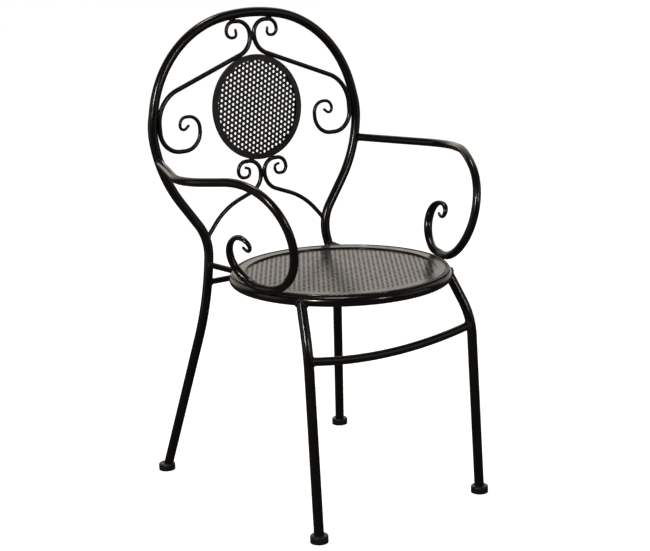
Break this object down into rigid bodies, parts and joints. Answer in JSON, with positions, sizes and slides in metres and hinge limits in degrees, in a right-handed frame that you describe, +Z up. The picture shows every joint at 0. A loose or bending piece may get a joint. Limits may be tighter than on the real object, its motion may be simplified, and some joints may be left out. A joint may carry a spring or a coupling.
{
  "type": "patio armchair",
  "caption": "Welded patio armchair of bent steel tube with rod scrollwork, a round perforated back panel, a round perforated seat and scroll-ended arms.",
  "frame": {"origin": "on the floor, under the middle of the chair's box", "axes": "+Z up; the sitter looks along -Y; +X is the sitter's left"},
  "size_m": [0.627, 0.561, 0.9388],
  "materials": {
    "black_iron": "satin black powder coat over welded steel",
    "seat_sheet": "black powder coat on perforated steel sheet, which reads grey-brown where light glances off it",
    "foot_cap": "black moulded plastic"
  },
  "bodies": {
    "root": {"back_frame": "black_iron", "front_leg_left": "black_iron", "front_leg_right": "black_iron", "front_stretcher": "black_iron", "rear_cross_bar": "black_iron", "rear_bracket_left": "black_iron", "rear_bracket_right": "black_iron", "seat_ring": "black_iron", "arm_left": "black_iron", "arm_right": "black_iron", "back_plate_rim": "black_iron", "back_plate_panel": "black_iron", "top_scroll_left": "black_iron", "top_scroll_right": "black_iron", "lower_scroll_left": "black_iron", "lower_scroll_right": "black_iron", "seat_rim": "seat_sheet", "seat_panel": "seat_sheet", "foot_cap_front_left": "foot_cap", "foot_cap_front_right": "foot_cap", "foot_cap_rear_left": "foot_cap", "foot_cap_rear_right": "foot_cap"}
  },
  "joints": []
}
